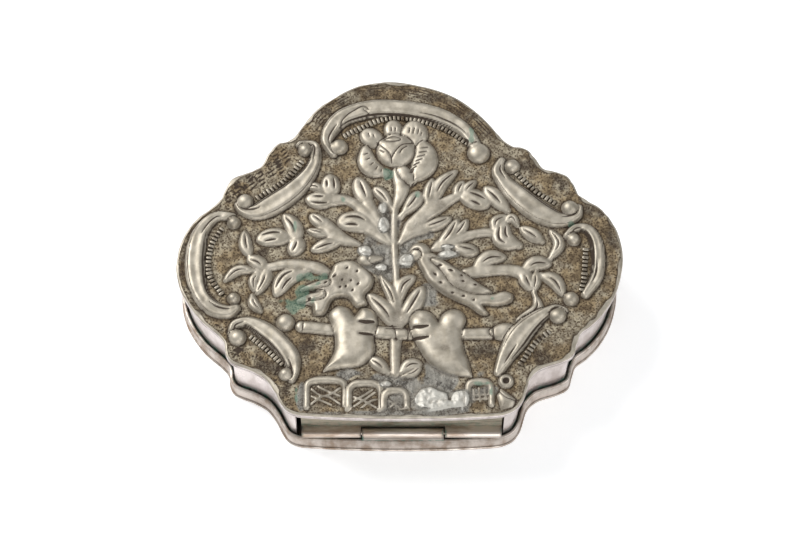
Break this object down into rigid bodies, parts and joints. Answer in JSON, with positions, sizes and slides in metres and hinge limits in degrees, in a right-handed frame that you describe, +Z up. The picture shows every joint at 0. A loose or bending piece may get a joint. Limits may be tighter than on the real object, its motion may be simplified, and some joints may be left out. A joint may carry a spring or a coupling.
{
  "type": "tobacco case",
  "caption": "Lobed sheet-metal pocket case: embossed deep lid over a shallow tray, joined by a knuckle hinge along the front edge.",
  "frame": {"origin": "middle of the plan box, on the surface the closed case lies on", "axes": "+X to the right along the hinge, +Y away from the hinge edge, +Z up from the tray floor to the embossed lid"},
  "size_m": [0.0856, 0.0718, 0.0187],
  "materials": {
    "embossed_silver": "worn silver, brown patina in the ground",
    "plain_silver": "smooth worn silver",
    "tray_silver": "worn silver with brown streaks",
    "hinge_silver": "worn silver with traces of verdigris",
    "recess_silver": "dark tarnished silver"
  },
  "bodies": {
    "tray": {"tray_floor": "tray_silver", "tray_rim": "tray_silver", "hinge_knuckle_middle": "hinge_silver", "hinge_pin": "hinge_silver"},
    "lid": {"lid_plate": "embossed_silver", "lid_edge_band": "plain_silver", "lid_wall": "plain_silver", "lid_hinge_bed": "recess_silver", "hinge_knuckle_left": "hinge_silver", "hinge_knuckle_right": "hinge_silver"}
  },
  "joints": [
    {"name": "lid_hinge", "type": "hinge", "parent": "tray", "child": "lid", "pos_m": [0.00035, -0.03415, 0.00535], "axis": [1, 0, 0], "range_deg": [0, 90]}
  ]
}
